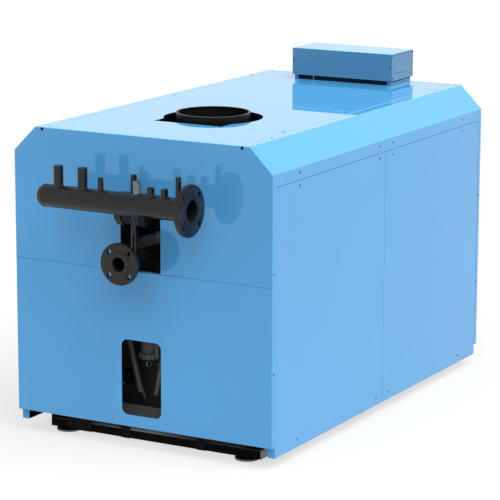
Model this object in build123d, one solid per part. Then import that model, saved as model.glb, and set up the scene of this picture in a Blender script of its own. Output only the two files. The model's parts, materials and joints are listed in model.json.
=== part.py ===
from build123d import *
from math import sqrt
import os

# Casing, seen from its rear end: X runs to the right, Y from the rear to the front, Z up from the floor
casing_length = 1900.0
casing_width = 1160.0
casing_height = 1200.0
casing_bottom = 44.0
shoulder_size = 100.0
shoulder_skirt = 50.0
shoulder_strip = 45.0
shoulder_return = 16.0
sheet = 2.0
bend_radius = 2.5
panel_gap = 0.8
cut_margin = 10.0

# Rear and front end panels, folded as trays
end_panel_depth = 25.0
end_panel_lift = 44.0
end_panel_seam = 669.0
side_panel_depth = 33.0
top_plate_depth = 20.0
rear_plate_length = 335.0

# Windows in the rear panels, heights above the casing's lower edge
window_width = 180.0
upper_window_height = 311.0
lower_window_height = 303.0
lower_window_sill = 92.0
lower_window_corner = 26.0

# Flue collar and the cut-out round it
flue_diameter = 300.0
flue_wall = 3.0
flue_from_rear = 560.0
flue_stand = 21.0
flue_rim_width = 9.0
collar_length = 90.0
neck_diameter = 330.0
neck_wall = 5.0
flue_cutout_diameter = 400.0
flue_slot_width = 312.0

# Control box on the front end of the top
box_width = 490.0
box_length = 212.0
box_height = 118.0
box_wall = 1.5
plinth_height = 22.0
plinth_inset = 8.0
plinth_slot_height = 20.0
plinth_slot_width = 436.0

# Base frame: beams across on the feet, and a rail along each side on the beams
beam_width = 80.0
beam_height = 34.0
beam_clearance = 10.0
rail_width = 66.0
rail_height = 50.0
rail_inset = 98.0
rail_set_back = 90.0
frame_wall = 5.0

# Levelling feet under the rear and front beams
foot_diameter = 96.0
foot_edge = 4.0
foot_neck_diameter = 30.0
foot_inset = 168.0
foot_set_back = 110.0
stem_diameter = 16.0
stem_clearance = 0.3
nut_size = 24.0
nut_height = 8.0

# Rear apron: a bar across behind the lower window, on legs down to the rear beam
# Legs: middle along X and width
straps = (
    (-344.0, 112.0),
    (-128.0, 37.0),
    (218.0, 37.0),
)
strap_thickness = 6.0
strap_height = 142.0
apron_height = 58.0

# Inner frame that carries the casing
post_size = 40.0
post_wall = 3.0
post_set_back = 135.0

# Boiler body inside the casing
drum_diameter = 450.0
drum_axis_height = 567.0
drum_set_back = 150.0
drum_length = 1400.0
drum_cover_diameter = 250.0
drum_cover_thickness = 22.0
drum_cover_chamfer = 7.0
seat_gap = 0.3
saddle_thickness = 10.0
saddle_set_back = 240.0
saddle_neck = 380.0

# Flow header behind the rear panel
header_diameter = 88.9
header_wall = 3.2
header_axis_height = 965.0
header_stand_off = 148.0
header_left = 332.0
header_right = 318.0
header_cap_rise = 36.0
header_flange_diameter = 200.0
header_flange_thickness = 20.0
header_bolt_circle = 160.0
header_face_diameter = 138.0
header_bore = 82.5
face_rise = 3.0
bolt_hole = 18.0
bolt_holes = 4

# Capped sockets on the header: place along X, outer diameter, height above the header's axis
sockets = (
    (-275.0, 38.0, 121.0),
    (-165.0, 38.0, 122.0),
    (-84.0, 22.0, 91.0),
    (199.0, 28.0, 73.0),
    (260.0, 22.0, 123.0),
)
socket_wall = 3.0
open_socket_place = 139.0
open_socket_diameter = 29.0
open_socket_height = 72.0
nipple_place = 78.0
nipple_diameter = 32.0
nipple_height = 91.0
drill_clearance = 0.5

# Outlet body between the header and the boiler, with a pair of flanges at each end
body_diameter = 114.3
body_height = 924.0
body_stand_off = 45.0
body_flange_diameter = 130.0
body_flange_thickness = 13.0
body_flange_spacing = 80.0
flange_joint = 2.0
outlet_diameter = 108.0
outlet_turn = 318.0
branch_diameter = 76.1
stub_diameter = 24.0
stub_height = 135.0

# Return pipe and its flange
return_diameter = 60.3
return_wall = 2.9
return_rise = 163.0
return_stand_off = 160.0
return_flange_diameter = 165.0
return_flange_thickness = 18.0
return_bolt_circle = 125.0
return_face_diameter = 102.0
return_bore = 54.5

# Drain pipes and tray behind the lower window
tray_set_back = 104.0
tray_thickness = 3.0
drain_set_back = 162.0
drain_diameter = 24.0
drain_wall = 2.0
cup_diameter = 84.0
cup_place = -72.0
cup_set_back = 195.0
cup_drop = 289.0
cup_chamfer = 8.0

# Drain pipes: the open end's X and height, and the X where the pipe meets the boiler body
drains = (
    (-102.0, 141.0, -209.0),
    (-30.0, 139.0, 59.0),
)

# Level pipe, straight back to the rear saddle
level_place = -55.0
level_height = 264.0
level_set_back = 145.0
level_diameter = 20.0

casing_top = casing_bottom + casing_height
header_reach = header_stand_off + header_flange_diameter / 2
rear_y = header_reach - (casing_length + header_reach) / 2
front_y = rear_y + casing_length
middle_y = rear_y + casing_length / 2
half_width = casing_width / 2
shoulder_bottom = casing_top - shoulder_size - shoulder_skirt
strip_edge = half_width - shoulder_size - shoulder_strip
beam_top = beam_clearance + beam_height
rail_top = beam_top + rail_height
rail_start = rear_y + rail_set_back
rail_end = front_y - rail_set_back
rail_outer = half_width - rail_inset
post_place = rail_outer - rail_width / 2
foot_place = half_width - foot_inset
flue_y = rear_y + flue_from_rear
drum_z = casing_bottom + drum_axis_height
drum_start = rear_y + drum_set_back
header_y = rear_y - header_stand_off
header_z = casing_bottom + header_axis_height
body_y = rear_y - body_stand_off
body_z = casing_bottom + body_height
return_z = drum_z + return_rise
return_face_y = rear_y - return_stand_off


def box_between(low, high):
    """A block between two opposite corners."""
    size = [high[i] - low[i] for i in range(3)]
    centre = [(high[i] + low[i]) / 2 for i in range(3)]
    return Pos(*centre) * Box(*size)


def upright(outline, y_back, thickness):
    """Extrude an outline, drawn in X and Z, from y_back towards the rear."""
    return extrude(Plane.XZ.offset(-y_back) * outline, amount=thickness)


def folded_tray(block, open_side, wall=sheet):
    """Round the closed face's edges as bends, and hollow the block to a sheet tray open towards one side."""
    block = fillet(block.faces().sort_by(open_side)[0].edges(), bend_radius)
    return offset(block, amount=-wall, openings=block.faces().sort_by(open_side)[-1])


def to_front(part):
    """The same piece at the front end, turned round as the real panels are."""
    return part.mirror(Plane.XZ.offset(-middle_y))


def to_left(part):
    return part.mirror(Plane.YZ)


def flange(diameter, thickness, face_diameter, bore, bolt_circle):
    """A pipe flange on the XY plane, with its raised face on top."""
    body = Cylinder(diameter / 2, thickness - face_rise, align=(Align.CENTER, Align.CENTER, Align.MIN))
    face = Cylinder(face_diameter / 2, thickness, align=(Align.CENTER, Align.CENTER, Align.MIN))
    through = 2 * thickness + cut_margin
    hole = Cylinder(bolt_hole / 2, through)
    holes = PolarLocations(bolt_circle / 2, bolt_holes, start_angle=180 / bolt_holes) * hole
    return body + face - Cylinder(bore / 2, through) - holes


def end_panel(low, high, with_shoulders):
    """A rear end panel: a folded tray from low to high, with the shoulders cut off its top corners."""
    if with_shoulders:
        corners = [
            (-half_width, low),
            (half_width, low),
            (half_width, high - shoulder_size),
            (half_width - shoulder_size, high),
            (shoulder_size - half_width, high),
            (-half_width, high - shoulder_size),
        ]
    else:
        corners = [(-half_width, low), (half_width, low), (half_width, high), (-half_width, high)]
    block = upright(make_face(Polyline(*corners, close=True)), rear_y + end_panel_depth, end_panel_depth)
    return folded_tray(block, Axis.Y)


def end_panels():
    seam = casing_bottom + end_panel_seam
    upper = end_panel(seam + panel_gap / 2, casing_top, True)
    lower = end_panel(casing_bottom + end_panel_lift, seam - panel_gap / 2, False)
    cut_end = rear_y + end_panel_depth + cut_margin
    notch = box_between(
        (-window_width / 2, rear_y - cut_margin, casing_bottom),
        (window_width / 2, cut_end, seam + upper_window_height),
    )
    low_centre = casing_bottom + lower_window_sill + lower_window_height / 2
    window = Pos(0, low_centre) * RectangleRounded(window_width, lower_window_height, lower_window_corner)
    opening = upright(window, cut_end, cut_end - rear_y + cut_margin)
    return {
        "rear_panel_upper": upper - notch,
        "rear_panel_lower": lower - opening,
        "front_panel_upper": to_front(upper),
        "front_panel_lower": to_front(lower),
    }


def side_panels():
    start = rear_y + end_panel_depth + panel_gap
    block = box_between(
        (half_width - side_panel_depth, start, casing_bottom),
        (half_width, middle_y - panel_gap / 2, shoulder_bottom - panel_gap),
    )
    panel = folded_tray(block, -Axis.X)
    front = to_front(panel)
    return {
        "side_panel_right_rear": panel,
        "side_panel_right_front": front,
        "side_panel_left_rear": to_left(panel),
        "side_panel_left_front": to_left(front),
    }


def shoulders():
    """The folded pieces along the top long edges: skirt, slope and strip, with a return at each edge."""
    line = FilletPolyline(
        (half_width - shoulder_return, shoulder_bottom),
        (half_width, shoulder_bottom),
        (half_width, casing_top - shoulder_size),
        (half_width - shoulder_size, casing_top),
        (strip_edge, casing_top),
        (strip_edge, casing_top - shoulder_return),
        radius=bend_radius,
    )
    profile = make_face(offset(line, amount=sheet, side=Side.LEFT, kind=Kind.INTERSECTION))
    start = rear_y + end_panel_depth + panel_gap
    piece = upright(profile, middle_y - panel_gap / 2, middle_y - panel_gap / 2 - start)
    front = to_front(piece)
    return {
        "shoulder_right_rear": piece,
        "shoulder_right_front": front,
        "shoulder_left_rear": to_left(piece),
        "shoulder_left_front": to_left(front),
    }


def top_plate(start, end):
    edge = strip_edge - panel_gap
    block = box_between((-edge, start, casing_top - top_plate_depth), (edge, end, casing_top))
    return folded_tray(block, -Axis.Z)


def top_plates():
    """Three plates over the top. The middle one is cut out round the flue, open towards the rear plate."""
    first = rear_y + end_panel_depth + panel_gap
    second = rear_y + end_panel_depth + rear_plate_length
    last = front_y - end_panel_depth - panel_gap
    middle = top_plate(second + panel_gap / 2, middle_y - panel_gap / 2)
    depth = 2 * top_plate_depth + cut_margin
    round_hole = Pos(0, flue_y, casing_top) * Cylinder(flue_cutout_diameter / 2, depth)
    slot = box_between(
        (-flue_slot_width / 2, second - cut_margin, casing_top - depth / 2),
        (flue_slot_width / 2, flue_y, casing_top + depth / 2),
    )
    return {
        "top_plate_rear": top_plate(first, second - panel_gap / 2),
        "top_plate_middle": middle - round_hole - slot,
        "top_plate_front": top_plate(middle_y + panel_gap / 2, last),
    }


def control_box():
    """The wiring box: a cover tray on a base plate, over a smaller plinth with a long slot at its rear."""
    low = casing_top + plinth_height
    rear = front_y - box_length
    half = box_width / 2
    base = box_between((-half, rear, low), (half, front_y, low + box_wall))
    lid = box_between((-half, rear, low + box_wall), (half, front_y, low + box_height))
    inner = half - plinth_inset
    slot_y = rear + plinth_inset
    block = box_between((-inner, slot_y, casing_top), (inner, front_y - plinth_inset, low))
    plinth = offset(block, amount=-box_wall, openings=block.faces().sort_by(Axis.Z)[0])
    slot = box_between(
        (-plinth_slot_width / 2, slot_y, low - plinth_slot_height),
        (plinth_slot_width / 2, slot_y + box_wall, low),
    )
    return {
        "control_box_cover": folded_tray(lid, -Axis.Z, box_wall),
        "control_box_base": base,
        "control_box_plinth": plinth - slot,
    }


def foot_rows():
    return rear_y + foot_set_back, front_y - foot_set_back


def base_frame():
    """Beams across, open below and with holes for the feet, the side rails on them and the rear apron."""
    beams = Part()
    for y in (rail_start, middle_y - beam_width / 2, rail_end - beam_width):
        block = box_between((-rail_outer, y, beam_clearance), (rail_outer, y + beam_width, beam_top))
        beams += offset(block, amount=-frame_wall, openings=block.faces().sort_by(Axis.Z)[0])
    hole = Cylinder(stem_diameter / 2 + stem_clearance, 2 * frame_wall + cut_margin)
    for y in foot_rows():
        beams -= Pos(foot_place, y, beam_top) * hole
        beams -= Pos(-foot_place, y, beam_top) * hole
    section = Rectangle(rail_width, rail_height) - Rectangle(
        rail_width - 2 * frame_wall, rail_height - 2 * frame_wall
    )
    rail = upright(Pos(post_place, beam_top + rail_height / 2) * section, rail_end, rail_end - rail_start)
    apron_back = rail_start - strap_thickness
    apron_top = beam_clearance + strap_height
    ends = [middle + side * width / 2 for middle, width in straps for side in (-1, 1)]
    apron = box_between(
        (min(ends), apron_back, apron_top - apron_height),
        (max(ends), rail_start, apron_top),
    )
    for middle, width in straps:
        apron += box_between(
            (middle - width / 2, apron_back, beam_clearance),
            (middle + width / 2, rail_start, apron_top),
        )
    return {
        "base_beams": beams,
        "base_rail_right": rail,
        "base_rail_left": to_left(rail),
        "rear_straps": apron,
    }


def feet():
    """Levelling feet: a pad that slopes up to a neck, a stem into the beam and a nut under its web."""
    stem_top = beam_top - stem_clearance
    line = Polyline(
        (0, 0),
        (foot_diameter / 2, 0),
        (foot_diameter / 2, foot_edge),
        (foot_neck_diameter / 2, beam_clearance),
        (stem_diameter / 2, beam_clearance),
        (stem_diameter / 2, stem_top),
        (0, stem_top),
        close=True,
    )
    nut = extrude(RegularPolygon(nut_size / 2, 6, major_radius=False), amount=nut_height)
    foot = revolve(Plane.XZ * make_face(line), Axis.Z) + Pos(0, 0, beam_top - frame_wall - nut_height) * nut
    pieces = Part()
    for y in foot_rows():
        pieces += Pos(foot_place, y, 0) * foot
        pieces += Pos(-foot_place, y, 0) * foot
    return {"levelling_feet": pieces}


def inner_frame():
    """Posts on the rails and a rail along each side under the edges of the top plates."""
    inner_size = post_size - 2 * post_wall
    section = Rectangle(post_size, post_size) - Rectangle(inner_size, inner_size)
    rail_z = casing_top - top_plate_depth - post_size / 2
    start = rear_y + end_panel_depth + panel_gap
    length = casing_length - 2 * (end_panel_depth + panel_gap)
    top_rail = upright(Pos(post_place, rail_z) * section, start + length, length)
    post_height = rail_z - post_size / 2 - rail_top
    posts = Part()
    for y in (rear_y + post_set_back, front_y - post_set_back):
        for x in (-post_place, post_place):
            posts += extrude(Pos(x, y, rail_top) * section, amount=post_height)
    return {"top_rail_right": top_rail, "top_rail_left": to_left(top_rail), "frame_posts": posts}


def boiler():
    """The round boiler body on two saddle plates, with its rear cover."""
    radius = drum_diameter / 2
    end = drum_start + drum_length
    drum = upright(Pos(0, drum_z) * Circle(radius), end, drum_length)
    cover = upright(Pos(0, drum_z) * Circle(drum_cover_diameter / 2), drum_start, drum_cover_thickness)
    cover = chamfer(cover.edges().sort_by(Axis.Y)[0], drum_cover_chamfer)
    outline = Polyline(
        (-rail_outer, rail_top),
        (rail_outer, rail_top),
        (rail_outer, rail_top + rail_width),
        (saddle_neck / 2, drum_z),
        (-saddle_neck / 2, drum_z),
        (-rail_outer, rail_top + rail_width),
        close=True,
    )
    plate = make_face(outline) - Pos(0, drum_z) * Circle(radius + seat_gap)
    saddle = upright(plate, rear_y + saddle_set_back + saddle_thickness, saddle_thickness)
    return {
        "boiler_body": drum,
        "boiler_rear_cover": cover,
        "saddle_rear": saddle,
        "saddle_front": to_front(saddle),
    }


def ring_along(radius, wall, low, high):
    """An upright tube round the flue's axis."""
    return extrude(Pos(0, flue_y, low) * (Circle(radius) - Circle(radius - wall)), amount=high - low)


def flue():
    """The flue: a wide neck from the boiler body, closed to the collar's bore, and the collar on it."""
    radius = flue_diameter / 2
    top = casing_top + flue_stand
    seat = top - collar_length
    neck_radius = neck_diameter / 2
    neck = ring_along(neck_radius, neck_wall, drum_z, seat)
    neck += ring_along(neck_radius, neck_radius - radius + flue_wall, seat - neck_wall, seat)
    collar = ring_along(radius, flue_wall, seat, top)
    collar += ring_along(radius, flue_rim_width, top - flue_wall, top)
    return {"flue_neck": neck - drum_outside(), "flue_collar": collar}


def across(radius, start, end):
    """A round bar along X on the header's axis."""
    return Pos(start, 0, 0) * Rot(0, 90, 0) * Cylinder(
        radius, end - start, align=(Align.CENTER, Align.CENTER, Align.MIN)
    )


def standing(x, radius, height):
    """A round bar from the header's axis up."""
    return Pos(x, 0, 0) * Cylinder(radius, height, align=(Align.CENTER, Align.CENTER, Align.MIN))


def header():
    """The flow header: a pipe along X with a dished cap, sockets on top and a flange at its right end."""
    radius = header_diameter / 2
    joint = header_right - header_flange_thickness
    dish = (radius**2 + header_cap_rise**2) / (2 * header_cap_rise)
    pole = (-header_left - header_cap_rise, 0)
    rim = (-header_left, radius)
    cap_line = RadiusArc(pole, rim, dish)
    body = revolve(make_face([cap_line, Polyline(rim, (joint, radius), (joint, 0), pole)]), Axis.X)
    body -= across(radius - header_wall, -header_left, joint)
    outside = across(radius, -header_left, joint)
    capped = Part()
    for x, diameter, height in sockets:
        rod = standing(x, diameter / 2, height)
        capped += chamfer(rod.edges().sort_by(Axis.Z)[-1], socket_wall / 2) - outside
    open_pieces = []
    for x, diameter, height in (
        (open_socket_place, open_socket_diameter, open_socket_height),
        (nipple_place, nipple_diameter, nipple_height),
    ):
        inner = diameter / 2 - socket_wall
        open_pieces.append(standing(x, diameter / 2, height) - standing(x, inner, height) - outside)
        body -= standing(x, inner + drill_clearance, radius)
    ring = Pos(joint, 0, 0) * Rot(0, 90, 0) * flange(
        header_flange_diameter,
        header_flange_thickness,
        header_face_diameter,
        header_bore,
        header_bolt_circle,
    )
    place = Pos(0, header_y, header_z)
    return {
        "flow_header": place * body,
        "header_sockets": place * capped,
        "header_socket_open": place * open_pieces[0],
        "header_nipple": place * open_pieces[1],
        "header_flange": place * ring,
    }


def outlet():
    """The outlet body: a short cylinder along X with a bolted pair of flanges at each end."""
    place = Pos(0, body_y, body_z) * Rot(0, 90, 0)
    barrel = Cylinder(body_diameter / 2, body_flange_spacing + 2 * body_flange_thickness + flange_joint)
    discs = Part()
    for side in (-1, 1):
        for step in (-1, 1):
            offset_x = side * body_flange_spacing / 2 + step * (body_flange_thickness + flange_joint) / 2
            discs += Pos(0, 0, offset_x) * Cylinder(body_flange_diameter / 2, body_flange_thickness)
    body = place * (barrel + discs)
    branch_axis = Vector(0, header_y - body_y, header_z - body_z)
    branch = extrude(
        Plane(origin=(0, body_y, body_z), z_dir=branch_axis) * Circle(branch_diameter / 2),
        amount=branch_axis.length,
    )
    header_solid = Pos(0, header_y, header_z) * across(header_diameter / 2, -header_left, header_left)
    branch = branch - header_solid - body
    start_y = body_y + sqrt(body_diameter**2 - outlet_diameter**2) / 2
    turn_y = rear_y + outlet_turn
    path = Polyline((0, start_y, body_z), (0, turn_y, body_z), (0, turn_y, drum_z))
    section = Plane(origin=(0, start_y, body_z), z_dir=(0, 1, 0)) * Circle(outlet_diameter / 2)
    pipe = sweep(section, path, transition=Transition.RIGHT) - drum_outside() - body
    stub = Pos(0, body_y, body_z) * Cylinder(
        stub_diameter / 2, stub_height, align=(Align.CENTER, Align.CENTER, Align.MIN)
    )
    drop = body_z - return_z
    bypass = Pos(0, body_y, return_z) * Cylinder(
        stub_diameter / 2, drop, align=(Align.CENTER, Align.CENTER, Align.MIN)
    )
    return_outline = Pos(0, return_z) * Circle(return_diameter / 2)
    return_solid = upright(return_outline, drum_start, drum_start - return_face_y)
    return {
        "outlet_body": body,
        "outlet_branch": branch,
        "outlet_pipe": pipe,
        "air_vent_stub": stub - body,
        "bypass_pipe": bypass - body - return_solid,
    }


def return_line():
    place = Pos(0, return_face_y + return_flange_thickness, return_z) * Rot(90, 0, 0)
    ring = place * flange(
        return_flange_diameter,
        return_flange_thickness,
        return_face_diameter,
        return_bore,
        return_bolt_circle,
    )
    section = Circle(return_diameter / 2) - Circle(return_diameter / 2 - return_wall)
    start = return_face_y + return_flange_thickness
    pipe = upright(Pos(0, return_z) * section, drum_start, drum_start - start)
    return {"return_flange": ring, "return_pipe": pipe}


def drum_outside():
    """The boiler body's own space, with a seat gap round it."""
    end = drum_start + drum_length
    return upright(Pos(0, drum_z) * Circle(drum_diameter / 2 + seat_gap), end, drum_length)


def drain_parts():
    """The drip tray between the posts, the pipes above it and the cup under the boiler body."""
    edge = post_place - post_size / 2
    end = rear_y + saddle_set_back
    tray = box_between((-edge, rear_y + tray_set_back, rail_top), (edge, end, rail_top + tray_thickness))
    pipes = Part()
    y = rear_y + drain_set_back
    for open_x, open_height, root_x in drains:
        start = Vector(open_x, y, casing_bottom + open_height)
        root = Vector(root_x, y, drum_z)
        plane = Plane(origin=start, z_dir=root - start)
        ring = Circle(drain_diameter / 2) - Circle(drain_diameter / 2 - drain_wall)
        pipes += extrude(plane * ring, amount=(root - start).length)
    level_ring = Circle(level_diameter / 2) - Circle(level_diameter / 2 - drain_wall)
    pipes += upright(
        Pos(level_place, casing_bottom + level_height) * level_ring,
        rear_y + saddle_set_back,
        saddle_set_back - level_set_back,
    )
    cup_z = drum_z - cup_drop
    cup = Pos(cup_place, rear_y + cup_set_back, cup_z) * Cylinder(
        cup_diameter / 2, drum_z - cup_z, align=(Align.CENTER, Align.CENTER, Align.MIN)
    )
    cup = chamfer(cup.edges().sort_by(Axis.Z)[0], cup_chamfer)
    return {"drip_tray": tray, "drain_pipes": pipes - drum_outside(), "drain_cup": cup - drum_outside()}


nodes = {}
for group in (
    end_panels,
    side_panels,
    shoulders,
    top_plates,
    control_box,
    base_frame,
    feet,
    inner_frame,
    boiler,
    flue,
    header,
    outlet,
    return_line,
    drain_parts,
):
    nodes.update(group())

os.makedirs("parts", exist_ok=True)
for name, part in nodes.items():
    export_step(part, "parts/" + name + ".step")
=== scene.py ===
import json
from math import cos, pi, radians, sin, sqrt

import bmesh
import bpy
from mathutils import Matrix, Vector


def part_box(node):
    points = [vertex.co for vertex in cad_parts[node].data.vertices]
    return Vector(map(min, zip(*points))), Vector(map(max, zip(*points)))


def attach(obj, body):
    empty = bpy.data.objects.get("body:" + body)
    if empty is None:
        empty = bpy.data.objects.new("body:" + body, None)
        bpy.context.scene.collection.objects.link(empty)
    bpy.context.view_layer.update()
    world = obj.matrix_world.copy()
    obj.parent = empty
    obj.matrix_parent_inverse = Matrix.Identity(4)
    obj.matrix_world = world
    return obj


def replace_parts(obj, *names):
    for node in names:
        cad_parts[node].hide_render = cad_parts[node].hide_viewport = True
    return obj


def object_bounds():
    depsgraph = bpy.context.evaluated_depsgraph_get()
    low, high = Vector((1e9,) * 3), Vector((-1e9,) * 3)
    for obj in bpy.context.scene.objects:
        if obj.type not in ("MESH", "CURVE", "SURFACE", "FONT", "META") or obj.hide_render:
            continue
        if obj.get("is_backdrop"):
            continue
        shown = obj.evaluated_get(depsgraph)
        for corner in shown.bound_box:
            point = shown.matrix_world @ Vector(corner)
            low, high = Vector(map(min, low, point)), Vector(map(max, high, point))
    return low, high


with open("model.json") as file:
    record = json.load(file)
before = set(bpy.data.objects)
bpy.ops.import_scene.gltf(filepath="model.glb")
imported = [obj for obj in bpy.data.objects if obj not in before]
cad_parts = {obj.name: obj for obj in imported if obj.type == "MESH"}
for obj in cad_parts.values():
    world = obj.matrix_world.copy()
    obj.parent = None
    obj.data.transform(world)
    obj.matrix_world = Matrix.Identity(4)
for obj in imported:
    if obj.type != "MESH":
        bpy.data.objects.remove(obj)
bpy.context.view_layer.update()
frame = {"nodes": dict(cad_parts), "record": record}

mm = 0.001

# How far the sloping shoulders cut into the casing's top edges
shoulder = 100 * mm

# How deep the blue reaches behind the outer faces, and how far in from the rear face all is blue; the
# inside beyond is painted shade, near black
painted_depth = 1.5 * mm
painted_fold = 28.5 * mm

# Faces and axes of the boiler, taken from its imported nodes
rear_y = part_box("rear_panel_upper")[0].y
front_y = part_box("front_panel_upper")[1].y
side_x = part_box("side_panel_right_rear")[1].x
bottom_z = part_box("side_panel_right_rear")[0].z
top_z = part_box("top_plate_front")[1].z
seam_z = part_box("rear_panel_lower")[1].z
header_low, header_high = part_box("flow_header")
header_radius = (header_high.z - header_low.z) / 2
header_y = (header_low.y + header_high.y) / 2
header_z = (header_low.z + header_high.z) / 2
flange_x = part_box("header_flange")[0].x
box_low, box_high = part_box("control_box_cover")
plinth_low, plinth_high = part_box("control_box_plinth")
beam_low, beam_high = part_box("base_beams")

sky = (1.0, 1.0, 1.0, 1.0)
# Near-black painted shade for the inside faces of the casing
inside_shade = (0.006, 0.006, 0.007, 1.0)


class Value:
    """An output of a node. Sums written on it add Math nodes."""

    def __init__(self, finish, socket):
        self.finish = finish
        self.socket = socket

    def sum_of(self, operation, left, right):
        return self.finish.node("ShaderNodeMath", {"operation": operation}, {0: left, 1: right})

    def __add__(self, other):
        return self.sum_of("ADD", self, other)

    def __sub__(self, other):
        return self.sum_of("SUBTRACT", self, other)

    def __rsub__(self, other):
        return self.sum_of("SUBTRACT", other, self)

    def __mul__(self, other):
        return self.sum_of("MULTIPLY", self, other)

    def __gt__(self, other):
        return self.sum_of("GREATER_THAN", self, other)

    def __abs__(self):
        return self.sum_of("ABSOLUTE", self, 0.0)

    def least(self, other):
        return self.sum_of("MINIMUM", self, other)

    __radd__ = __add__
    __rmul__ = __mul__


class Finish:
    """The nodes of one finish."""

    def __init__(self, tree):
        self.tree = tree
        tree.nodes.clear()

    def node(self, kind, settings, inputs, output=0):
        """Add a node: its settings first, then its inputs as values or links."""
        made = self.tree.nodes.new(kind)
        for name, value in settings.items():
            setattr(made, name, value)
        for name, value in inputs.items():
            if isinstance(value, Value):
                self.tree.links.new(value.socket, made.inputs[name])
            else:
                made.inputs[name].default_value = value
        return Value(self, made.outputs[output] if made.outputs else None)

    def place(self):
        return self.node("ShaderNodeTexCoord", {}, {}, "Object")

    def axes(self, vector):
        """The X, Y and Z of a vector."""
        first = self.node("ShaderNodeSeparateXYZ", {}, {0: vector})
        return [Value(self, output) for output in first.socket.node.outputs]

    def inside_sheet(self):
        """1 behind the casing's outer faces, where the inside gets painted shade, and 0 on them."""
        x, y, z = self.axes(self.place())
        wide = abs(x)
        slope = (side_x + top_z - shoulder - wide - z) * sqrt(0.5)
        depth = (side_x - wide).least(top_z - z).least(z - bottom_z).least(slope).least(front_y - y)
        return (depth > painted_depth) * (y - rear_y > painted_fold)

    def ray(self, kind):
        return self.node("ShaderNodeLightPath", {}, {}, "Is " + kind + " Ray")

    def noise(self, scale, detail, roughness=0.5):
        inputs = {"Vector": self.place(), "Scale": scale, "Detail": detail, "Roughness": roughness}
        return self.node("ShaderNodeTexNoise", {}, inputs, "Fac")

    def cells(self, scale, output):
        return self.node("ShaderNodeTexVoronoi", {}, {"Vector": self.place(), "Scale": scale}, output)

    def between(self, amount, first, second):
        """A colour between two, by an amount from 0 to 1."""
        return self.node("ShaderNodeMix", {"data_type": "RGBA"}, {0: amount, 6: first, 7: second}, 2)

    def ramp(self, amount, low, high, first, last):
        """An amount stretched from the span low to high onto the span first to last."""
        inputs = {0: amount, 1: low, 2: high, 3: first, 4: last}
        return self.node("ShaderNodeMapRange", {}, inputs)

    def bump(self, height, depth, strength):
        inputs = {"Height": height, "Distance": depth, "Strength": strength}
        return self.node("ShaderNodeBump", {}, inputs)

    def surface(self, **inputs):
        """The Principled shader as this finish's surface."""
        named = {name.replace("_", " "): value for name, value in inputs.items()}
        shader = self.node("ShaderNodeBsdfPrincipled", {}, named)
        self.node("ShaderNodeOutputMaterial", {}, {"Surface": shader})


def new_finish(name):
    material = bpy.data.materials.new(name)
    material.use_nodes = True
    return material, Finish(material.node_tree)


def tint(colour, factor):
    return tuple(channel * factor for channel in colour) + (1.0,)


def grey(level):
    return (level, level, level, 1.0)


def enamel(name, colour, lit_top_colour, height):
    """Lacquered sheet in one colour, a lighter colour on top from a height up as painted light, and
    near-black painted shade inside.
    """
    material, finish = new_finish(name)
    inside = finish.inside_sheet()
    lit_top = finish.axes(finish.place())[2] > height - 1 * mm
    cloud = finish.noise(1.7, 3.0)
    grain = finish.noise(900.0, 1.0)
    tone = finish.ramp(cloud, 0.3, 0.7, 0.0, 1.0)
    plain = finish.between(tone, tint(colour, 0.97), tint(colour, 1.02))
    # The top faces take the lighter colour: painted light
    shade = finish.between(lit_top, plain, tint(lit_top_colour, 1.0))
    speck = finish.between(finish.ramp(grain, 0.35, 0.65, 0.0, 0.08), shade, tint(colour, 0.8))
    peel = finish.bump(finish.noise(260.0, 2.0), 0.00002, 0.08)
    gloss = finish.ramp(cloud, 0.3, 0.7, 0.015, 0.03)
    finish.surface(
        Base_Color=finish.between(inside, speck, inside_shade),
        Metallic=0.08,
        Roughness=gloss + inside * 0.6,
        IOR=1.3,
        Normal=peel,
        Coat_Weight=1.0 - inside,
        Coat_Roughness=0.008,
        Coat_IOR=1.15,
    )
    return material


def painted_steel(name, colour, roughness, depth, index=1.45):
    """Brushed or dipped paint on pipes and castings, a little uneven and dusty."""
    material, finish = new_finish(name)
    cloud = finish.noise(14.0, 4.0)
    grain = finish.noise(700.0, 2.0)
    dust = finish.ramp(cloud, 0.45, 0.75, 0.0, 0.35)
    shade = finish.between(dust, tint(colour, 0.9), tint(colour, 1.5))
    finish.surface(
        Base_Color=shade,
        Roughness=finish.ramp(cloud, 0.3, 0.7, roughness - 0.04, roughness + 0.06),
        IOR=index,
        Normal=finish.bump(grain, depth, 0.35),
    )
    return material


def steel_with_lit_top(name, low_colour, high_colour, height, roughness, index):
    """Dull steel that is darker below a height and lighter above it, the lighter part painted light."""
    material, finish = new_finish(name)
    z = finish.axes(finish.place())[2]
    grain = finish.ramp(finish.noise(300.0, 3.0), 0.3, 0.7, 0.0, 0.4)
    low = finish.between(grain, tint(low_colour, 0.85), tint(low_colour, 1.3))
    high = finish.between(grain, tint(high_colour, 0.9), tint(high_colour, 1.15))
    finish.surface(
        Base_Color=finish.between(z > height, low, high),
        Roughness=roughness,
        IOR=index,
        Normal=finish.bump(grain, 0.0001, 0.3),
    )
    return material


def zinc(name, colour, roughness):
    """Galvanised steel, with the spangle of the dip."""
    material, finish = new_finish(name)
    spangle = finish.node("ShaderNodeSeparateColor", {}, {"Color": finish.cells(240.0, "Color")})
    shade = finish.between(spangle, tint(colour, 0.55), tint(colour, 1.35))
    finish.surface(
        Base_Color=shade,
        Metallic=0.7,
        Roughness=finish.ramp(spangle, 0.0, 1.0, roughness - 0.08, roughness + 0.1),
        Normal=finish.bump(finish.noise(800.0, 2.0), 0.00005, 0.4),
    )
    return material


def shell_grey(name, colour, roughness):
    """The boiler's own steel, primed and mottled."""
    material, finish = new_finish(name)
    blotch = finish.noise(95.0, 5.0, 0.65)
    shade = finish.between(finish.ramp(blotch, 0.35, 0.65, 0.0, 1.0), tint(colour, 0.45), tint(colour, 1.5))
    finish.surface(
        Base_Color=shade,
        Roughness=roughness,
        Normal=finish.bump(blotch, 0.0004, 0.5),
    )
    return material


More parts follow.
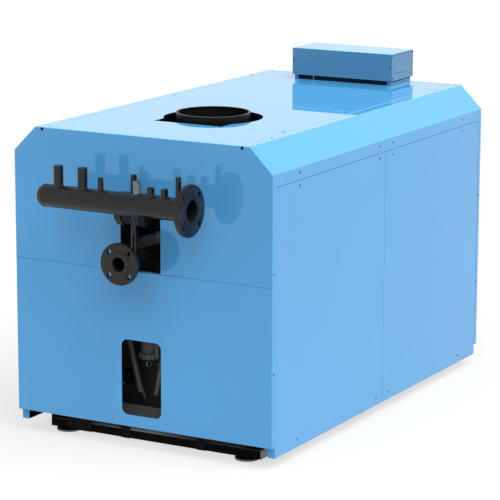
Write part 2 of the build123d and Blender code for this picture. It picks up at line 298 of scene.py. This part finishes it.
clear_blue = (0.106, 0.428, 0.84)
# A lighter blue for the casing's top: painted light where it faces the light
lit_top_blue = (0.112, 0.51, 0.97)
casing_blue = enamel("casing_blue_enamel", clear_blue, lit_top_blue, top_z)
# The control box's sides take a darker blue, painted shade, and its lid a lighter blue, painted light
box_blue = enamel("box_blue_enamel", (0.075, 0.238, 0.385), (0.12, 0.56, 0.95), box_high.z)
pipe_black = painted_steel("pipe_black_paint", (0.01, 0.01, 0.01), 0.17, 0.00002, 1.41)
frame_black = painted_steel("frame_black_paint", (0.02, 0.02, 0.02), 0.5, 0.00006)
rail_black = painted_steel("rail_black_paint", (0.008, 0.008, 0.008), 0.6, 0.00006, 1.15)
weld_black = painted_steel("weld_bead_paint", (0.02, 0.02, 0.02), 0.35, 0.0001)
flue_black = painted_steel("flue_black_paint", (0.008, 0.008, 0.008), 0.3, 0.00002, 1.28)
cover_black = painted_steel("cover_black_paint", (0.024, 0.024, 0.024), 0.5, 0.00002, 1.28)
saddle_black = painted_steel("saddle_plate_paint", (0.05, 0.05, 0.05), 0.5, 0.00006)
foot_steel = painted_steel("foot_steel_paint", (0.02, 0.02, 0.02), 0.2, 0.00002)
# The beams' top faces are pale grey, painted light, over their near-black webs
beam_edge = beam_high.z - 0.6 * mm
beam_black = steel_with_lit_top("beam_black", (0.007,) * 3, (0.42,) * 3, beam_edge, 0.8, 1.15)
# The straps' upper bar is lighter, painted light, and their legs under the casing darker, painted shade
apron_edge = 93.5 * mm
apron_grey = steel_with_lit_top("apron_grey", (0.004,) * 3, (0.1,) * 3, apron_edge, 0.6, 1.2)
slot_dark = painted_steel("slot_shadow_blue", (0.006, 0.018, 0.03), 0.6, 0.00002, 1.2)
# Near-black and dull: painted shade for the dark inside of the flue neck and for the level pipe's bore
opening_shade = painted_steel("painted_opening_shade", (0.004, 0.004, 0.005), 0.8, 0.00002, 1.15)
rubber = painted_steel("rubber_black", (0.006, 0.006, 0.006), 0.75, 0.00003)
galvanised = zinc("galvanised_steel", (0.22, 0.225, 0.23), 0.38)
bright_zinc = zinc("bright_zinc_screws", (0.5, 0.5, 0.5), 0.3)
boiler_grey = shell_grey("boiler_grey_primer", (0.1, 0.104, 0.109), 0.55)
cup_grey = shell_grey("cup_grey_primer", (0.18, 0.184, 0.19), 0.55)
outlet_grey = shell_grey("outlet_pipe_grey", (0.2, 0.204, 0.21), 0.5)
inner_pipe = painted_steel("inner_pipe_grey", (0.15, 0.154, 0.16), 0.35, 0.00004)

finish_of_slot = {
    "casing_blue": casing_blue,
    "box_blue": box_blue,
    "pipe_black": pipe_black,
    "boiler_grey": boiler_grey,
    "frame_black": frame_black,
    "foot_steel": foot_steel,
    "galvanised": galvanised,
}
finish_of_node = {
    "base_beams": beam_black,
    "base_rail_left": rail_black,
    "base_rail_right": rail_black,
    "rear_straps": apron_grey,
    "flue_collar": flue_black,
    "flue_neck": opening_shade,
    "outlet_pipe": outlet_grey,
    "boiler_rear_cover": cover_black,
    "saddle_rear": saddle_black,
    "drain_pipes": inner_pipe,
    "drain_cup": cup_grey,
}
slot_of_node = {entry["node"]: entry["material_slot"] for entry in frame["record"]["subparts"]}
for name, node in frame["nodes"].items():
    for holder in node.material_slots:
        holder.material = finish_of_node.get(name, finish_of_slot[slot_of_node[name]])


def added(shape, before):
    """The vertices that a shape has now and had not before."""
    return [vert for vert in shape.verts if vert not in before]


def towards(place, axis):
    """The turn and move that stand a piece, made along Z, at a place along an axis."""
    turn = Vector(axis).to_track_quat("Z", "Y").to_matrix().to_4x4()
    return Matrix.Translation(place) @ turn


def turned(shape, profile, place, axis, steps):
    """Spin a profile of radius and height round an axis that starts at a place."""
    before = set(shape.verts)
    points = [shape.verts.new((radius, 0.0, height)) for radius, height in profile]
    lines = [shape.edges.new(pair) for pair in zip(points, points[1:])]
    bmesh.ops.spin(
        shape,
        geom=points + lines,
        cent=(0, 0, 0),
        axis=(0, 0, 1),
        angle=2 * pi,
        steps=steps,
        use_merge=True,
    )
    made = added(shape, before)
    bmesh.ops.remove_doubles(shape, verts=made, dist=0.01 * mm)
    made = added(shape, before)
    bmesh.ops.transform(shape, matrix=towards(place, axis), verts=made)
    return made


def bar(shape, place, axis, radius, length, steps, foot=True):
    """A round bar that starts at a place, its foot closed or left open in what it stands on."""
    profile = [(radius, 0), (radius, length), (0, length)]
    if foot:
        profile.insert(0, (0, 0))
    turned(shape, profile, place, axis, steps)


def block(shape, low, high, ease=0.5 * mm):
    """A box between two corners, with its edges eased."""
    before = set(shape.verts)
    size = Vector(high) - Vector(low)
    middle = (Vector(high) + Vector(low)) / 2
    stretch = Matrix.Translation(middle) @ Matrix.Diagonal((*size, 1.0))
    bmesh.ops.create_cube(shape, size=1.0, matrix=stretch)
    made = added(shape, before)
    edges = list({edge for vert in made for edge in vert.link_edges})
    bmesh.ops.bevel(shape, geom=edges, offset=ease, segments=2, affect="EDGES", profile=0.5, material=-1)
    return added(shape, before)


def piece(name, shape, finish, sharp=35.0):
    """Close a shape as a named piece on the boiler, smooth but for its sharp edges."""
    bmesh.ops.recalc_face_normals(shape, faces=shape.faces)
    mesh = bpy.data.meshes.new(name)
    shape.to_mesh(mesh)
    shape.free()
    mesh.materials.append(finish)
    mesh.shade_smooth()
    mesh.set_sharp_from_angle(angle=radians(sharp))
    made = bpy.data.objects.new(name, mesh)
    bpy.context.scene.collection.objects.link(made)
    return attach(made, "root")


def eased(node, width, finish):
    """A copy of a node with its sharp edges rounded, in place of the node."""
    shape = bmesh.new()
    shape.from_mesh(frame["nodes"][node].data)
    bmesh.ops.remove_doubles(shape, verts=shape.verts, dist=0.01 * mm)
    bmesh.ops.dissolve_limit(shape, angle_limit=radians(0.5), verts=shape.verts, edges=shape.edges)
    edges = [
        edge
        for edge in shape.edges
        if len(edge.link_faces) == 2 and edge.calc_face_angle() > radians(35.0)
    ]
    bmesh.ops.bevel(
        shape,
        geom=edges,
        offset=width,
        segments=2,
        affect="EDGES",
        profile=0.5,
        material=-1,
        clamp_overlap=True,
    )
    made = piece(node + "_eased", shape, finish)
    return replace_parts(made, node)


def pan_head(shape, place, axis, diameter, height):
    """A screw's rounded head with a socket in it."""
    radius = diameter / 2
    profile = [
        (radius, -height),
        (radius, height * 0.35),
        (radius * 0.86, height * 0.85),
        (radius * 0.6, height),
        (radius * 0.42, height),
        (radius * 0.36, height * 0.2),
        (0.0, height * 0.1),
    ]
    return turned(shape, profile, place, axis, 16)


def weld_bead(shape, place, axis, radius, size, ripples):
    """A rippled bead round a joint, where a pipe of that radius ends."""
    before = set(shape.verts)
    bmesh.ops.create_circle(shape, segments=8, radius=size, matrix=Matrix.Rotation(pi / 2, 4, "X"))
    ring = added(shape, before)
    bmesh.ops.translate(shape, verts=ring, vec=(radius, 0, 0))
    geometry = list(ring) + list({edge for vert in ring for edge in vert.link_edges})
    bmesh.ops.spin(
        shape,
        geom=geometry,
        cent=(0, 0, 0),
        axis=(0, 0, 1),
        angle=2 * pi,
        steps=4 * ripples,
        use_merge=True,
    )
    made = added(shape, before)
    bmesh.ops.remove_doubles(shape, verts=made, dist=0.01 * mm)
    made = added(shape, before)
    for vert in made:
        turn = Vector((vert.co.x, vert.co.y)).angle_signed(Vector((1, 0)), 0.0)
        swell = 1 + 0.12 * size / radius * sin(ripples * turn)
        vert.co.x *= swell
        vert.co.y *= swell
    bmesh.ops.transform(shape, matrix=towards(place, axis), verts=made)
    return made


def end_mark(shape, side, y, width, low, high):
    """A dark mark on the control box's left or right end."""
    x = side * box_high.x
    half = 0.5 * mm
    block(shape, (x - half, y, low), (x + half, y + width, high), 0.2 * mm)


def sun(name, energy, spread, place, way, shade=True):
    """A sun lamp of an energy and a width in degrees, at a place, and the way that points to it."""
    light = bpy.data.lights.new(name, "SUN")
    light.energy = energy
    light.angle = radians(spread)
    light.use_shadow = shade
    holder = bpy.data.objects.new(name, light)
    holder.matrix_world = towards(place, way)
    holder.visible_glossy = False
    bpy.context.scene.collection.objects.link(holder)


# Screws of the side panels: place from the rear face and height from the casing's lower edge
side_screws = [(y * mm, z * mm) for y in (210, 895, 1015, 1700) for z in (1080, 1030)]
side_screws += [(y * mm, 33 * mm) for y in (206, 892, 1008, 1698)]
side_screws += [(1886 * mm, 721 * mm), (1886 * mm, 334 * mm)]
side_screws += [(12 * mm, 721 * mm), (12 * mm, 334 * mm)]
screw_diameter = 8 * mm
screw_height = 1.2 * mm

shape = bmesh.new()
for y, z in side_screws:
    for side in (-1, 1):
        place = (side * side_x, rear_y + y, bottom_z + z)
        pan_head(shape, place, (side, 0, 0), screw_diameter, screw_height)
piece("side_screws", shape, pipe_black)

# Screws in the top: place across and from the rear face
top_screws = [(x * mm, y * mm) for x in (-459, 456) for y in (1020, 1700, 1893)]
top_screws += [(456 * mm, 216 * mm), (426 * mm, 363 * mm)]
shape = bmesh.new()
for x, y in top_screws:
    pan_head(shape, (x, rear_y + y, top_z), (0, 0, 1), screw_diameter, screw_height)
piece("top_screws", shape, pipe_black)

# Plugs in the end panels' top corners
plug_x = 448 * mm
plug_z = bottom_z + 1193 * mm
profile = [(5 * mm, -1 * mm), (6.5 * mm, 0), (6.2 * mm, 1 * mm), (4 * mm, 2 * mm), (0, 2.2 * mm)]
shape = bmesh.new()
for side in (-1, 1):
    for y, way in ((rear_y, -1), (front_y, 1)):
        turned(shape, profile, (side * plug_x, y, plug_z), (0, way, 0), 24)
piece("corner_plugs", shape, rubber)

# Flow header: a pipe with a dished end
wall = 3.2 * mm
cap_start = -332 * mm
cap_rise = cap_start - header_low.x
pipe_length = flange_x - cap_start
cap_steps = 10
quarter = [pi / 2 * step / cap_steps for step in range(cap_steps + 1)]
profile = [(header_radius * sin(turn), -cap_rise * cos(turn)) for turn in quarter]
profile += [(header_radius, pipe_length), (header_radius - wall, pipe_length), (header_radius - wall, 0)]
profile += [
    ((header_radius - wall) * sin(turn), (wall - cap_rise) * cos(turn))
    for turn in reversed(quarter[:-1])
]
shape = bmesh.new()
turned(shape, profile, (cap_start, header_y, header_z), (1, 0, 0), 96)
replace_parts(piece("header_pipe", shape, pipe_black), "flow_header")

# Its capped sockets: place across, diameter and height above the header's axis, in millimetres
plugs = [(-275, 38, 121), (-165, 38, 122), (-84, 22, 91), (199, 28, 73), (260, 22, 123)]
shape = bmesh.new()
for x, diameter, height in plugs:
    radius, top = diameter / 2 * mm, height * mm
    low = sqrt(header_radius**2 - radius**2) - wall
    profile = [
        (radius, low),
        (radius, top - 0.8 * mm),
        (radius - 0.8 * mm, top),
        (radius - 2.6 * mm, top),
        (radius - 3.2 * mm, top - 1.2 * mm),
        (0, top - 0.6 * mm),
    ]
    turned(shape, profile, (x * mm, header_y, header_z), (0, 0, 1), 40)
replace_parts(piece("header_plugs", shape, pipe_black), "header_sockets")

# Flanges and outlet body with eased edges
eased("header_flange", 1.2 * mm, pipe_black)
eased("return_flange", 1.2 * mm, pipe_black)
eased("outlet_body", 1.0 * mm, pipe_black)

# Beads round the capped sockets, the open socket and the nipple, and at the header's two joints
sockets = [(x, diameter) for x, diameter, height in plugs] + [(139, 29), (78, 32)]
shape = bmesh.new()
for x, diameter in sockets:
    place = (x * mm, header_y, 0)
    made = weld_bead(shape, place, (0, 0, 1), diameter * mm / 2, 2.6 * mm, 18)
    for vert in made:
        across = min(abs(vert.co.y - header_y), header_radius)
        vert.co.z += header_z + sqrt(header_radius**2 - across**2)
weld_bead(shape, (flange_x, header_y, header_z), (1, 0, 0), header_radius, 3.2 * mm, 44)
weld_bead(shape, (cap_start, header_y, header_z), (1, 0, 0), header_radius - 1.4 * mm, 2.6 * mm, 44)
piece("header_weld_beads", shape, weld_black, 60.0)

# Bead behind the return flange
return_low, return_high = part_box("return_flange")
return_z = (return_low.z + return_high.z) / 2
bead_radius = 30.5 * mm
shape = bmesh.new()
weld_bead(shape, (0, return_high.y, return_z), (0, 1, 0), bead_radius, 3 * mm, 32)
piece("return_weld_bead", shape, weld_black, 60.0)

# Seal in the joint between the two rear panels, on both sides of the upper window
window_half = 90.5 * mm
shape = bmesh.new()
for start, end in ((-side_x, -window_half), (window_half, side_x)):
    low = (start + 2 * mm, rear_y + 0.35 * mm, seam_z - 0.1 * mm)
    high = (end - 2 * mm, rear_y + 3 * mm, seam_z + 0.9 * mm)
    block(shape, low, high, 0.1 * mm)
piece("rear_joint_seal", shape, casing_blue)

# Dark sleeve on the outlet body between its pairs of flanges, painted shade where the body lies in shadow,
# and the gaskets in the pairs
body_low, body_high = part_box("outlet_body")
body_y = (body_low.y + body_high.y) / 2
body_z = (body_low.z + body_high.z) / 2
sleeve_inside = 57.2 * mm
sleeve_outside = 58.4 * mm
sleeve_half = 25.8 * mm
gasket_half = 0.9 * mm
pair_x = 40 * mm
shape = bmesh.new()
profile = [
    (sleeve_inside, -sleeve_half),
    (sleeve_outside, -sleeve_half),
    (sleeve_outside, sleeve_half),
    (sleeve_inside, sleeve_half),
]
turned(shape, profile, (0, body_y, body_z), (1, 0, 0), 64)
profile = [(56 * mm, -gasket_half), (61 * mm, -gasket_half), (61 * mm, gasket_half)]
for x in (-pair_x, pair_x):
    turned(shape, profile, (x, body_y, body_z), (1, 0, 0), 64)
piece("outlet_shade_sleeve", shape, rubber)

# Bracket on the boiler body, seen in the upper window: an upright plate on a flat foot
drum_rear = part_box("boiler_body")[0].y
bracket_left = -13 * mm
bracket_right = 4 * mm
bracket_foot = 801 * mm
bracket_top = 849 * mm
shape = bmesh.new()
block(
    shape,
    (bracket_left, drum_rear - 14 * mm, bracket_foot),
    (bracket_right, drum_rear - 11 * mm, bracket_top),
)
block(
    shape,
    (bracket_left, drum_rear - 12 * mm, bracket_foot),
    (bracket_right, drum_rear + 1 * mm, bracket_foot + 4 * mm),
)
piece("drum_bracket", shape, outlet_grey)

# Rim of the drain cup
cup_low, cup_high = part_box("drain_cup")
cup_x = (cup_low.x + cup_high.x) / 2
cup_y = (cup_low.y + cup_high.y) / 2
cup_radius = (cup_high.x - cup_low.x) / 2
shape = bmesh.new()
profile = [
    (cup_radius - 8 * mm, 0),
    (cup_radius + 6 * mm, 0),
    (cup_radius + 9 * mm, 3 * mm),
    (cup_radius + 9 * mm, 22 * mm),
    (cup_radius + 6 * mm, 25 * mm),
    (cup_radius - 1 * mm, 26 * mm),
]
turned(shape, profile, (cup_x, cup_y, cup_low.z), (0, 0, 1), 64)
piece("cup_rim", shape, cup_grey)

# Ring of the level pipe, a dark disc in its mouth as painted shade for the bore, and the clip under it
saddle_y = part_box("saddle_rear")[0].y
level_pipe_end = (-55 * mm, rear_y + 145 * mm, 308 * mm)
profile = [
    (8.6 * mm, 0),
    (9.8 * mm, -0.8 * mm),
    (11 * mm, 0.4 * mm),
    (10.8 * mm, 3 * mm),
    (9.8 * mm, 3 * mm),
]
shape = bmesh.new()
turned(shape, profile, level_pipe_end, (0, 1, 0), 32)
piece("level_pipe_ring", shape, bright_zinc)
shape = bmesh.new()
bar(shape, level_pipe_end, (0, 1, 0), 8.7 * mm, 1 * mm, 32)
piece("level_pipe_mouth_shade", shape, opening_shade)
shape = bmesh.new()
block(shape, (-74 * mm, saddle_y - 16 * mm, 283 * mm), (-45 * mm, saddle_y + 1 * mm, 292 * mm))
piece("level_pipe_clip", shape, bright_zinc)

# Stub at the foot of the long drain pipe, and the pipe beside the cup
shape = bmesh.new()
bar(shape, (-82 * mm, -664 * mm, 160 * mm), (-0.32, 0, 0.95), 4.5 * mm, 44 * mm, 24, foot=False)
bar(shape, (-11 * mm, drum_rear - 10 * mm, 341 * mm), (0, 0, 1), 12.5 * mm, 130 * mm, 32)
piece("drain_stub", shape, inner_pipe)

# Rod that rises to the left onto an upright in the drip tray
tray_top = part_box("drip_tray")[1].z
rod_y = -640 * mm
rod_radius = 3 * mm
rod_slope = Vector((-59, 0, 29.2)) * mm
upright = 222 * mm - tray_top
shape = bmesh.new()
bar(shape, (-181 * mm, rod_y, 193 * mm), rod_slope, rod_radius, rod_slope.length, 16)
bar(shape, (-239 * mm, rod_y, tray_top), (0, 0, 1), rod_radius, upright, 16, foot=False)
piece("drain_rod", shape, bright_zinc)

# Rubber block on the saddle plate, with a pin in it
block_y = saddle_y - 22 * mm
pin = Vector((20, 0, 9)) * mm
shape = bmesh.new()
block(shape, (-250 * mm, block_y, 190 * mm), (-180 * mm, saddle_y + 1 * mm, 250 * mm), 3 * mm)
piece("saddle_block", shape, rubber)
shape = bmesh.new()
bar(shape, (-196 * mm, block_y, 232 * mm), pin, 1.6 * mm, pin.length, 12)
piece("saddle_block_pin", shape, galvanised)

# End plates on the front and the rear beam
plate_width = 80 * mm
plate_half = 1.5 * mm
shape = bmesh.new()
for y in (beam_low.y, beam_high.y - plate_width):
    for side in (-1, 1):
        x = side * beam_high.x
        low = (x - plate_half, y, beam_low.z)
        high = (x + plate_half, y + plate_width, beam_high.z)
        block(shape, low, high, 0.6 * mm)
piece("beam_end_plates", shape, galvanised)

# Lighter rings round the feet's lower edges: a painted highlight where those edges catch light
foot_low, foot_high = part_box("levelling_feet")
foot_radius = 48 * mm
foot_x = foot_high.x - foot_radius
profile = [
    (foot_radius - 1 * mm, 0),
    (foot_radius + 0.8 * mm, 0.3 * mm),
    (foot_radius + 0.8 * mm, 6.2 * mm),
    (foot_radius - 2.5 * mm, 7 * mm),
    (foot_radius - 4 * mm, 5 * mm),
]
shape = bmesh.new()
for x in (-foot_x, foot_x):
    for y in (foot_low.y + foot_radius, foot_high.y - foot_radius):
        turned(shape, profile, (x, y, 0), (0, 0, 1), 64)
piece("foot_highlight_rings", shape, outlet_grey)

# Dark disc on the rear beam's top: painted shade for a hole there
profile = [(5 * mm, -1 * mm), (5 * mm, 0.6 * mm), (0, 0.8 * mm)]
shape = bmesh.new()
turned(shape, profile, (292 * mm, beam_low.y + 16 * mm, beam_high.z), (0, 0, 1), 20)
piece("beam_hole_shade", shape, rubber)

# Control box: rivets in its long side and its ends
rivet_head = [(3.6 * mm, -0.5 * mm), (3.6 * mm, 0.6 * mm), (2 * mm, 1.2 * mm), (0, 1.3 * mm)]
flat_head = [(3.4 * mm, -0.5 * mm), (3.4 * mm, 0.6 * mm), (0, 1.2 * mm)]
shape = bmesh.new()
for x in (-238 * mm, 235 * mm):
    turned(shape, rivet_head, (x, box_low.y, 1327 * mm), (0, -1, 0), 16)
for z in (1280 * mm, 1374 * mm):
    for y in (box_low.y + 7 * mm, box_high.y - 7 * mm):
        for side in (-1, 1):
            turned(shape, flat_head, (side * box_high.x, y, z), (side, 0, 0), 16)

# Its vents, dark marks that stand in for open slots as painted shade, and the row of marks along the joint
# under its lid
lid_z = box_high.z
for step in range(5):
    y = box_low.y + (28 + 23 * step) * mm
    for side in (-1, 1):
        end_mark(shape, side, y, 3.5 * mm, 1292 * mm, 1301 * mm)
for step in range(8):
    y = box_low.y + (12 + 24 * step) * mm
    for side in (-1, 1):
        end_mark(shape, side, y, 14 * mm, lid_z - 4.6 * mm, lid_z - 1.2 * mm)
piece("box_rivets_and_vents", shape, rubber)

# Painted shade: a dark sheet behind the slot of its plinth, and dark strips along the top of the plinth's
# ends, under the box
shade_half = 222 * mm
shape = bmesh.new()
low = (-shade_half, plinth_low.y + 7 * mm, plinth_low.z + 0.5 * mm)
high = (shade_half, plinth_low.y + 9 * mm, plinth_high.z - 1.6 * mm)
block(shape, low, high, 0.3 * mm)
for side in (-1, 1):
    x = side * plinth_high.x
    low = (x - 0.4 * mm, plinth_low.y, plinth_high.z - 6 * mm)
    high = (x + 0.4 * mm, plinth_high.y, plinth_high.z)
    block(shape, low, high, 0.2 * mm)
piece("plinth_painted_shade", shape, slot_dark)

# Thin post in the slot
post_x = -144.5 * mm
post_half = 1.1 * mm
shape = bmesh.new()
low = (post_x - post_half, plinth_low.y + 1 * mm, plinth_low.z + 1 * mm)
high = (post_x + post_half, plinth_low.y + 5 * mm, plinth_high.z)
block(shape, low, high, 0.4 * mm)
piece("plinth_post", shape, bright_zinc)

# Floor: white where it is seen, and a soft grey for light, paler in front of the rear end: a painted pool
# of light that sends more bounce onto the rear end
floor_half = 60.0
bounce_pool_centre = (-0.5, -1.8, 0.0)
shape = bmesh.new()
bmesh.ops.create_grid(shape, x_segments=1, y_segments=1, size=floor_half)
mesh = bpy.data.meshes.new("floor")
shape.to_mesh(mesh)
shape.free()
floor = bpy.data.objects.new("floor", mesh)
bpy.context.scene.collection.objects.link(floor)
floor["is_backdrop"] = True

material, finish = new_finish("pale_floor")
seen = finish.ray("Camera") + finish.ray("Glossy") + finish.ray("Transmission") > 0.5
ends = {0: finish.place(), 1: bounce_pool_centre}
reach = finish.node("ShaderNodeVectorMath", {"operation": "DISTANCE"}, ends, "Value")
pale = finish.between(finish.ramp(reach, 0.7, 2.0, 0.0, 1.0), grey(0.4), grey(0.17))
plain = finish.node("ShaderNodeBsdfDiffuse", {}, {"Color": pale})
shaded = finish.node("ShaderNodeBsdfDiffuse", {}, {"Color": grey(0.22)})
glow = finish.node("ShaderNodeEmission", {}, {"Color": sky, "Strength": 0.68})
bright = finish.node("ShaderNodeAddShader", {}, {0: shaded, 1: glow})
either = finish.node("ShaderNodeMixShader", {}, {0: seen, 1: plain, 2: bright})
finish.node("ShaderNodeOutputMaterial", {}, {"Surface": either})
mesh.materials.append(material)

# Sky: white to the camera, a little darker overhead in reflections, softer as light
world = bpy.data.worlds.new("studio")
bpy.context.scene.world = world
world.use_nodes = True
finish = Finish(world.node_tree)
direction = finish.node("ShaderNodeTexCoord", {}, {}, "Generated")
height = finish.node("ShaderNodeSeparateXYZ", {}, {0: direction}, "Z")
mirrored = finish.ramp(height, 0.45, 0.9, 0.82, 0.45)
camera_ray = finish.ray("Camera") + finish.ray("Transmission")
glossy_ray = finish.ray("Glossy")
strength = camera_ray + (1.0 - camera_ray) * (glossy_ray * mirrored + (1.0 - glossy_ray) * 0.45)
back = finish.node("ShaderNodeBackground", {}, {"Color": sky, "Strength": strength})
finish.node("ShaderNodeOutputWorld", {}, {"Surface": back})

# Broad key light on the right side and the top
sun("key", 2.78, 50.0, (4.0, 0.0, 7.0), (1.58, 0.0, 2.22))

# Faint level light on the rear end, which also reaches what lies behind the windows
sun("fill", 0.05, 0.526, (0.0, -8.0, 1.0), (0.0, -1.0, 0.0), shade=False)

# Soft light from above the rear end, which the header and the flanges shade
sun("soft", 1.42, 60.0, (0.0, -8.0, 3.0), (0.4, -1.0, 1.75))

# Camera at the photograph's place
camera = bpy.data.cameras.new("camera")
camera.lens = 174.73493
camera.sensor_width = 36.0
camera.clip_end = 200.0
camera_object = bpy.data.objects.new("camera", camera)
camera_heading = Matrix.Rotation(radians(29.17354427), 4, "Z")
camera_dip = Matrix.Rotation(radians(90 - 12.00327887), 4, "X")
camera_roll = Matrix.Rotation(radians(0.16626410), 4, "Z")
camera_place = Matrix.Translation((4.82109144, -8.59661964, 2.74486476))
camera_object.matrix_world = camera_place @ camera_heading @ camera_dip @ camera_roll
bpy.context.scene.collection.objects.link(camera_object)
bpy.context.scene.camera = camera_object
bpy.context.scene.view_settings.view_transform = "Standard"

low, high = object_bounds()
